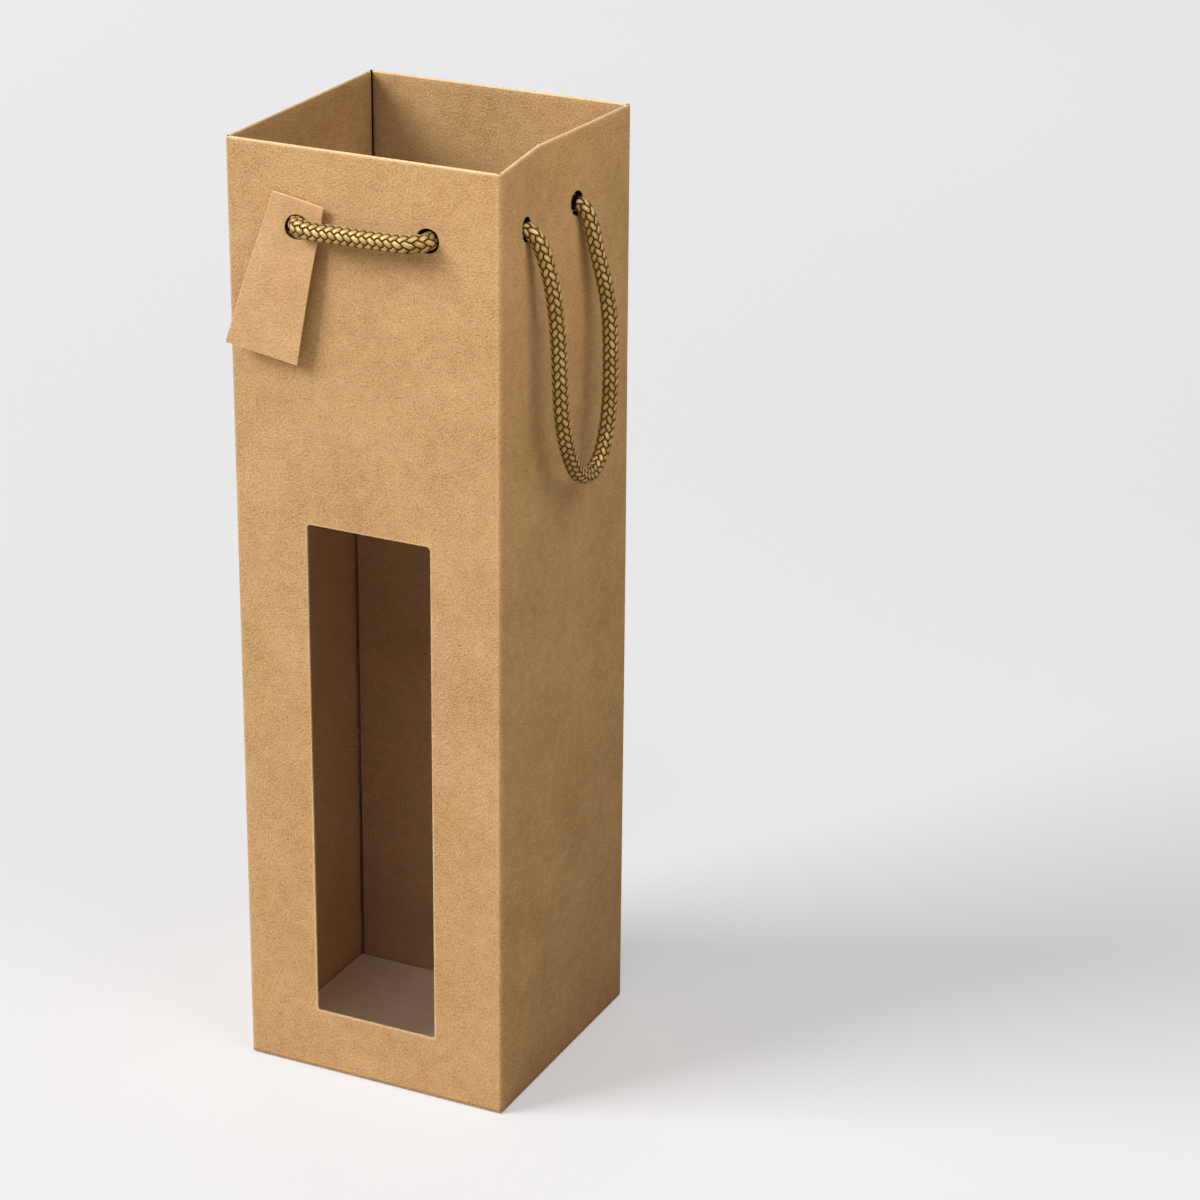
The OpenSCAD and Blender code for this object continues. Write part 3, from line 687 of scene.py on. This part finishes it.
def make_sleeve():
    """The sleeve: one closed sheet. Its grid runs round the four walls and their folds one way, and the
    other way up the outside, over the rim, down the hem and down the inside. At each corner the hem is
    notched. Cuts are blocks of the grid left out, each with rings that shrink to the cut's rim, and a strip
    that joins the rims."""
    holes = [(0, c, z) for c, z in FRONT_HOLES] + [(1, c, z) for c, z in SIDE_HOLES] \
        + [(3, -c, z) for c, z in SIDE_HOLES]
    window_margin, hole_margin = 3.0, 1.7  # of the block left out, round the cut
    rubbed_and_lit = {0.9: 0.35, 1.0: 1.0}  # wear and painted highlight on the window's rim and on the ring before it
    cuts = [(0, WINDOW, window_margin)]
    cuts += [(wall, (c, z, HOLE_R, HOLE_R, HOLE_R), hole_margin) for wall, c, z in holes]
    wall_lines, z_lines = [[] for _ in range(4)], []
    for wall, (c, z, a, b, r), margin in cuts:
        if a == r:
            wall_lines[wall].append(round_lines(c, a + margin))
            z_lines.append(round_lines(z, b + margin))
        else:
            wall_lines[wall].append(slot_lines(c, a, r, margin, 5))
            z_lines.append(slot_lines(z, b, r, margin, 6))
    z_lines.append([1.4, 3.5, HEM_Z, 330, 336, 338.4, 339.0])
    z_grid = filled(np.concatenate(z_lines), 4.5)
    columns = []
    for wall in range(4):
        end = HALF_ALONG[wall] - CORNER
        near = np.array([0.3, 0.6, 1.2, 2.4, 5.0])
        extra = CREASE_Y + np.array([-3, -1.2, -0.4, 0, 0.4, 1.2, 3]) if wall == 1 else []
        own = np.concatenate([*wall_lines[wall], extra, end - near, near - end, [-end, end]])
        own = filled(own[np.abs(own) <= end], 4.5)
        columns += [(wall, c, 0.0) for c in own]
        columns += [(wall, end, t) for t in np.radians([15, 30, 45, 60, 75])]
    columns = np.array(columns)
    wall_of, c_of, turn_of = columns[:, 0].astype(int), columns[:, 1], columns[:, 2]

    # Each row of the grid is a height and a depth below the outer face
    hem, inside = z_grid[z_grid > HEM_Z + 0.01][::-1], z_grid[z_grid <= HEM_Z + 0.01][::-1]
    rows = [(z, 0.0) for z in z_grid]
    rows += [(339.55, 0.06), (339.86, 0.22), (340, 0.48), (340, RIM - 0.48), (339.86, RIM - 0.22),
             (339.55, RIM - 0.06)]
    hem_row = len(rows)
    rows += [(z, RIM) for z in hem] + [(HEM_Z + 0.15, RIM), (HEM_Z, RIM - 0.2)]
    inside_row = len(rows)
    rows += [(z, BOARD) for z in inside]
    rows += [(0.0, BOARD), (0.0, 0.6), (0.12, 0.36), (0.4, 0.14), (0.8, 0.03)]
    rows = np.array(rows)
    count_v, count_u, count_z, count_in = len(rows), len(columns), len(z_grid), len(inside)

    sets = [[np.broadcast_to(g, (count_v, count_u)).ravel() for g in (wall_of, c_of, turn_of)]
            + [np.repeat(rows[:, 0], count_u), np.repeat(rows[:, 1], count_u)]]
    shares = [np.zeros((2, count_v * count_u))]
    keep = np.ones((count_v, count_u), bool)
    quads, strips = [], []
    next_id = count_v * count_u
    for wall, (c, z, a, b, r), margin in cuts:
        far_x, far_z = a + margin, b + margin
        c_all = np.where((wall_of == wall) & (turn_of == 0), c_of, 1e6)
        i0, i1 = (int(np.argmin(np.abs(c_all - c - e))) for e in (-far_x, far_x))
        j0, j1 = (int(np.argmin(np.abs(z_grid - z - e))) for e in (-far_z, far_z))
        i, j = ring_pairs(i0, i1, j0, j1)
        rim = on_rim((c_of[i] - c) / far_x, (z_grid[j] - z) / far_z, a, b, r) + [c, z]
        n, rims = len(i), []
        for depth in (0.0, RIM if z > HEM_Z else BOARD):
            if depth and a == r:
                rim = (rim - [c, z]) * (HOLE_INNER / HOLE_R) + [c, z]
            row = j if depth == 0 else np.where(j >= count_in, hem_row + count_z - 1 - j,
                                                inside_row + count_in - 1 - j)
            keep[row.min():row.max(), i0:i1] = False
            last = row * count_u + i
            for t in (0.35, 0.7, 0.9, 1.0):
                place = np.stack([c_of[i], z_grid[j]], 1) * (1 - t) + rim * t
                ids = next_id + np.arange(n)
                next_id += n
                sets.append([np.full(n, wall), place[:, 0], np.zeros(n), place[:, 1], np.full(n, depth)])
                # Painted highlight: the window's lower rim, which faces up to the light, is painted paler
                # than its upper rim; the holes' inner rings get painted shade.
                lower = (rim[:, 1] < z) * 0.5 + 0.5
                shares.append(np.array([lower * (a != r) * rubbed_and_lit.get(t, 0.0),
                                        np.full(n, 0.9 * (a == r) * (t == 1))]))
                quads.append(np.stack([last, np.roll(last, -1), np.roll(ids, -1), ids], 1))
                last = ids
            rims.append(last)
        strips.append(np.stack([rims[0], np.roll(rims[0], -1), np.roll(rims[1], -1), rims[1]], 1))

    wall_all, c_all, turn_all, z_all, depth_all = (np.concatenate([q[k] for q in sets]) for k in range(5))
    cut_worn, cut_deep = np.concatenate(shares, 1)
    wall_all = wall_all.astype(int)
    to_fold = HALF_ALONG[wall_all] - CORNER - np.abs(c_all)
    notch = np.where(turn_all > 0, 1.0, np.clip((0.34 - to_fold) / 0.3, 0, 1)) * (z_all > HEM_Z - 0.01)
    shallow = depth_all * (1 - notch * (1 - BOARD / RIM)) * (depth_all > 0)
    points = sleeve_point(wall_all, c_all, turn_all, z_all, np.where(depth_all == BOARD, BOARD, shallow))

    v, u = np.nonzero(keep)
    v1, u1 = (v + 1) % count_v, (u + 1) % count_u
    grid = np.stack([v * count_u + u, v * count_u + u1, v1 * count_u + u1, v1 * count_u + u], 1)
    faces = np.concatenate([grid, *quads, *strips])
    high, low = z_all[faces].max(1), z_all[faces].min(1)
    outer, edge, inner, shade = range(4)
    pick = np.where((depth_all[faces].min(1) > BOARD - 0.01) & (high <= HEM_Z + 0.01), inner, outer)
    pick[(high <= HEM_Z + 0.16) & (low >= HEM_Z - 0.01) & (depth_all[faces].max(1) > BOARD + 0.1)] = edge
    first_strip = len(faces) - sum(len(q) for q in strips)
    pick[first_strip:first_strip + len(strips[0])] = edge
    # The holes' strips take the near-black material of painted shade.
    pick[first_strip + len(strips[0]):] = shade

    # The place on the sheet: round the sleeve, up the outside and on over the rim. The inside has its own.
    starts = np.concatenate([[0], np.cumsum(2 * HALF_ALONG)])
    across = starts[wall_all] + HALF_ALONG[wall_all] + c_all + turn_all * CORNER
    past_rim = np.where(z_all > HEM_Z - 0.01, 2 * HEIGHT - z_all + 4, -z_all - 40)
    over = np.where(depth_all == 0, z_all, past_rim)
    over = np.where((z_all > 339.1) & (depth_all < RIM), HEIGHT + depth_all, over)
    across = across + np.where((depth_all > 0) & (z_all < HEM_Z), INSIDE_PLACE, 0.0)
    uv = np.stack([across, over], 1)[faces]
    wide = uv[..., 0].max(1) - uv[..., 0].min(1) > starts[-1] / 2
    uv[..., 0] += np.where(wide[:, None] & (uv[..., 0] < uv[..., 0].mean(1)[:, None]), starts[-1], 0)

    outside = depth_all < BOARD
    worn = np.where(turn_all > 0, 0.10, 0.10 * np.exp(-(to_fold / 0.5) ** 2)) * outside
    # The rim's top is painted pale: wear on the fold, and painted highlight where it faces the light.
    worn = np.maximum(worn, 0.9 * np.exp(-(np.maximum(339.9 - z_all, 0) / 0.5) ** 2))
    worn = np.maximum(worn, cut_worn)
    # Painted shade: near black in the gap of each notched corner of the hem, along the foot where the walls
    # meet the floor and round the cord holes; and a little darker on the hem inside the mouth, most near
    # the corners.
    deep = notch * smoothstep((depth_all - 0.3) / 0.35)
    deep = np.maximum(deep, 0.8 * smoothstep((0.45 - z_all) / 0.45))
    deep = np.maximum(deep, cut_deep)
    turned_in = smoothstep((depth_all - 0.9) / 0.4) * smoothstep((z_all - HEM_Z) / 2) \
        * smoothstep((HEIGHT - z_all) / 3)
    deep = np.maximum(deep, turned_in * (0.16 + 0.22 * np.exp(-np.maximum(to_fold, 0) / 6)))
    return make_piece("sleeve", points, [faces], [KRAFT, KRAFT_EDGE, KRAFT_INSIDE, HOLE_SHADE],
                      uv.reshape(-1, 2), pick=pick, worn=worn * (1 - deep), deep=deep)


sleeve = make_sleeve()
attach(sleeve, "root")
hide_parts("front_wall", "right_wall", "back_wall", "left_wall",
            "hem_front", "hem_right", "hem_back", "hem_left")


def make_tag():
    """The tag: a thin card, wider at its foot, with a punched hole. A flat card with its hole is laid over
    four corners, each in its own place and at its own height off the wall, by mixing the four evenly. The
    cord holds it down round the hole."""
    left, right, head, foot = 11.3, 8.2, 9.4, 46.3  # from the middle of the hole to each edge
    thick, hole, margin = 0.6, 4.1, 1.2
    dip, dip_area = 1.45, 90  # how far the cord holds the card down, and the square of how far round it
    # Across, up and off the wall: head left, head right, foot right, foot left
    corners = np.array([(-32.0, 324.2, 0.7), (-12.75, 321.2, 1.9), (-22.64, 266.85, 3.8),
                        (-49.48, 271.0, 4.2)])
    far = hole + margin
    border = np.array([0.0, 0.28, 0.9])
    x_lines = filled(np.concatenate([round_lines(0, far), border - left, right - border]), 1.6)
    z_lines = filled(np.concatenate([round_lines(0, far), border - foot, head - border]), 2.0)
    i0, i1 = (int(np.argmin(np.abs(x_lines - e))) for e in (-far, far))
    j0, j1 = (int(np.argmin(np.abs(z_lines - e))) for e in (-far, far))
    nx, nz = len(x_lines), len(z_lines)
    i, j = ring_pairs(i0, i1, j0, j1)
    rim = on_rim(x_lines[i] / far, z_lines[j] / far, hole, hole, hole)
    n = len(i)
    xs, zs, loops = [np.broadcast_to(x_lines, (nz, nx)).ravel()], [np.repeat(z_lines, nx)], [j * nx + i]
    for k, t in enumerate((0.4, 0.8, 1.0)):
        xs.append(x_lines[i] * (1 - t) + rim[:, 0] * t)
        zs.append(z_lines[j] * (1 - t) + rim[:, 1] * t)
        loops.append(nz * nx + k * n + np.arange(n))
    x, z = np.concatenate(xs), np.concatenate(zs)
    keep = np.ones((nz - 1, nx - 1), bool)
    keep[j0:j1, i0:i1] = False
    v, u = np.nonzero(keep)
    card = np.stack([v * nx + u, v * nx + u + 1, (v + 1) * nx + u + 1, (v + 1) * nx + u], 1)
    rings = [np.stack([a, np.roll(a, -1), np.roll(b, -1), b], 1) for a, b in zip(loops[:-1], loops[1:])]
    face = np.concatenate([card, *rings])
    total = len(x)
    edge_i, edge_j = ring_pairs(0, nx - 1, 0, nz - 1)
    outline = edge_j * nx + edge_i
    walls = [np.stack([loop, np.roll(loop, -1), np.roll(loop, -1) + total, loop + total], 1)
             for loop in (outline, loops[-1])]

    across, down = ((x + left) / (left + right))[:, None], ((head - z) / (head + foot))[:, None]
    laid = (1 - down) * ((1 - across) * corners[0] + across * corners[1]) \
        + down * ((1 - across) * corners[3] + across * corners[2])
    bend = 0.5 * np.sin(np.pi * down[:, 0]) - dip * np.exp(-(x ** 2 + z ** 2) / dip_area)
    lift = np.maximum(laid[:, 2] + bend, 0.1)
    back = np.stack([laid[:, 0], -HALF_D - 0.4 - lift, laid[:, 1]], 1)
    points = np.concatenate([back, back - [0, thick, 0]])
    faces = np.concatenate([face, face + total, *walls])
    card_face, edge, shade = range(3)
    pick = np.full(len(faces), card_face)
    pick[2 * len(face):] = edge
    # The hole's strip takes the near-black material of painted shade.
    pick[-len(walls[1]):] = shade
    apart = 120  # from the back's place on the sheet to the front's
    plane = np.stack([np.concatenate([x, x + apart]), np.concatenate([z, z]) + TAG_PLACE], 1)
    uv = plane[faces]
    jump = np.ptp(uv[..., 0], axis=1) > apart / 2
    uv[jump, :, 0] %= apart / 2
    worn, deep = np.zeros(2 * total), np.zeros(2 * total)
    for half in (0, total):
        # Painted highlight: the left edge and the head, which face the light, are painted pale; the other
        # edges carry a little wear.
        worn[outline + half] = np.where((x[outline] < 0.01 - left) | (z[outline] > head - 0.01), 0.9, 0.15)
        # Painted shade: the hole's rim is painted near black.
        deep[loops[-1] + half] = 0.95
    return make_piece("swing_tag_card", points, [faces], [TAG_CARD, KRAFT_EDGE, HOLE_SHADE],
                      uv.reshape(-1, 2), pick=pick, worn=worn, deep=deep)


tag = make_tag()
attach(tag, "swing_tag")
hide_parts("tag")


def make_spacer():
    """The spacer: one card folded twice, carried up as a flat profile of its two sides and its face. Its
    folds are rounded, and its face is bowed a little towards the window."""
    half, front_y, back_y, thick, fold = 48.5, 30.3, 48.2, 0.8, 0.6
    low, high = 1.65, 216.6
    arc = np.radians(np.linspace(0, 90, 7))
    side = filled([front_y + 1.0, back_y], 5)[::-1]
    face = filled([1.0 - half, half - 1.0], 4)
    outer, inner = [], []
    for keep, reach, radius in ((outer, half, fold), (inner, half - thick, 0.05)):
        middle, face_y = reach - radius, front_y + half - reach
        round_y = face_y + radius
        keep += [(-reach, y) for y in side]
        keep += [(-middle - radius * math.cos(t), round_y - radius * math.sin(t)) for t in arc[1:-1]]
        keep += [(x, face_y) for x in face]
        keep += [(middle + radius * math.sin(t), round_y - radius * math.cos(t)) for t in arc[1:-1]]
        keep += [(reach, y) for y in side[::-1]]
    outer, inner = np.array(outer), np.array(inner)
    z_lines = filled([low, high], 6)
    nz, n = len(z_lines), len(outer)
    profile = np.concatenate([outer, inner[::-1]])
    x, y = (np.broadcast_to(profile[:, k], (nz, 2 * n)).ravel().copy() for k in range(2))
    z = np.repeat(z_lines, 2 * n)
    bow = np.cos(np.clip(x / half, -1, 1) * np.pi / 2) * (np.abs(y - front_y) < 1.5)
    y = y - bow * (0.5 * np.sin(np.pi * (z - low) / (high - low)) + 0.15 * ripple(x, z, 7.0))
    v, u = (g.ravel() for g in np.meshgrid(np.arange(nz - 1), np.arange(2 * n), indexing="ij"))
    u1 = (u + 1) % (2 * n)
    walls = np.stack([v * 2 * n + u, v * 2 * n + u1, (v + 1) * 2 * n + u1, (v + 1) * 2 * n + u], 1)
    k = np.arange(n - 1)
    ends = [np.stack([base + k, base + k + 1, base + 2 * n - 2 - k, base + 2 * n - 1 - k], 1)
            for base in (0, (nz - 1) * 2 * n)]
    faces = np.concatenate([walls, *ends])
    length = np.concatenate([[0], np.cumsum(np.linalg.norm(np.diff(profile, axis=0), axis=1))])
    plane = np.stack([np.tile(length, nz), z + SPACER_PLACE], 1)
    uv = plane[faces]
    uv[..., 0] += np.where((np.ptp(uv[..., 0], axis=1) > 100)[:, None] & (uv[..., 0] < 100), length[-1], 0)
    pick = (np.arange(len(faces)) >= len(walls)).astype(int)
    # Painted shade: the sides go dark just behind the front folds, where they meet the walls.
    deep = 0.9 * (np.abs(x) > half - 0.3) * smoothstep((y - front_y - 0.3) / 1.5)
    return make_piece("spacer_card", np.stack([x, y, z], 1), [faces], [KRAFT_INSIDE, KRAFT_EDGE],
                      uv.reshape(-1, 2), pick=pick, deep=deep)


spacer = make_spacer()
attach(spacer, "root")
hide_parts("spacer_face", "spacer_side_left", "spacer_side_right")


def dress(node, material):
    """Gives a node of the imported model, whose shape is right, its material."""
    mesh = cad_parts[node].data
    mesh.materials.clear()
    mesh.materials.append(material)


for node in ("seam_flap", "spacer_top", "spacer_tab", "base_flap_left", "base_flap_right",
             "base_flap_front", "base_flap_back"):
    dress(node, PLATE_INSIDE)
dress("base_board", BASE_CARD)


# Floor and light

def add_floor():
    """One flat square, 24 m wide, a fifth of a millimetre under the carrier."""
    mesh = bpy.data.meshes.new("floor")
    mesh.from_pydata([(-12, -12, -0.0002), (12, -12, -0.0002), (12, 12, -0.0002), (-12, 12, -0.0002)], [],
                     [(0, 1, 2, 3)])
    mesh.materials.append(studio_floor())
    floor = bpy.data.objects.new("floor", mesh)
    bpy.context.scene.collection.objects.link(floor)


def add_lamp(name, place, target, size, power, colour=(1, 1, 1)):
    """A square soft lamp that faces a target."""
    data = bpy.data.lights.new(name, "AREA")
    data.shape, data.size, data.energy, data.color = "SQUARE", size, power, colour
    lamp = bpy.data.objects.new(name, data)
    lamp.location = place
    lamp.rotation_euler = (Vector(target) - Vector(place)).to_track_quat("-Z", "Y").to_euler()
    bpy.context.scene.collection.objects.link(lamp)


def light_world(ambient, shown):
    """The world lights the object with one strength, a little warm, as light that comes back from a room
    does, and shows in the view and in gloss with another, plain."""
    world = bpy.data.worlds.new("studio")
    bpy.context.scene.world = world
    world.use_nodes = True
    tree = world.node_tree
    path = tree.nodes.new("ShaderNodeLightPath")
    view, gloss, glass = (Shade(tree, path.outputs[key])
                          for key in ("Is Camera Ray", "Is Glossy Ray", "Is Transmission Ray"))
    share = view.larger(gloss).larger(glass)
    background = tree.nodes["Background"]
    tint = mixed(tree, share, (1.0, 0.965, 0.92, 1.0), (1.0, 1.0, 1.015, 1.0))
    tree.links.new(tint.socket, background.inputs["Color"])
    tree.links.new((share * (shown - ambient) + ambient).socket, background.inputs["Strength"])


add_floor()
add_lamp("key", (-3.41, -2.86, 3.38), (0, 0, 0.15), 2.8, 334.0)
add_lamp("front_fill", (0.55, -3.11, 4.66), (0, 0, 0.15), 2.2, 34.0)
add_lamp("back_lamp", (-1.5, 3.2, 3.0), (0, 0, 0.15), 2.5, 16.0)
add_lamp("right_lamp", (0.32, -0.13, 0.57), (0.05, 0, 0.29), 0.3, 0.98, (1.0, 0.94, 0.85))
light_world(0.076, SEEN_WORLD)
bpy.context.scene.view_settings.view_transform = "Standard"
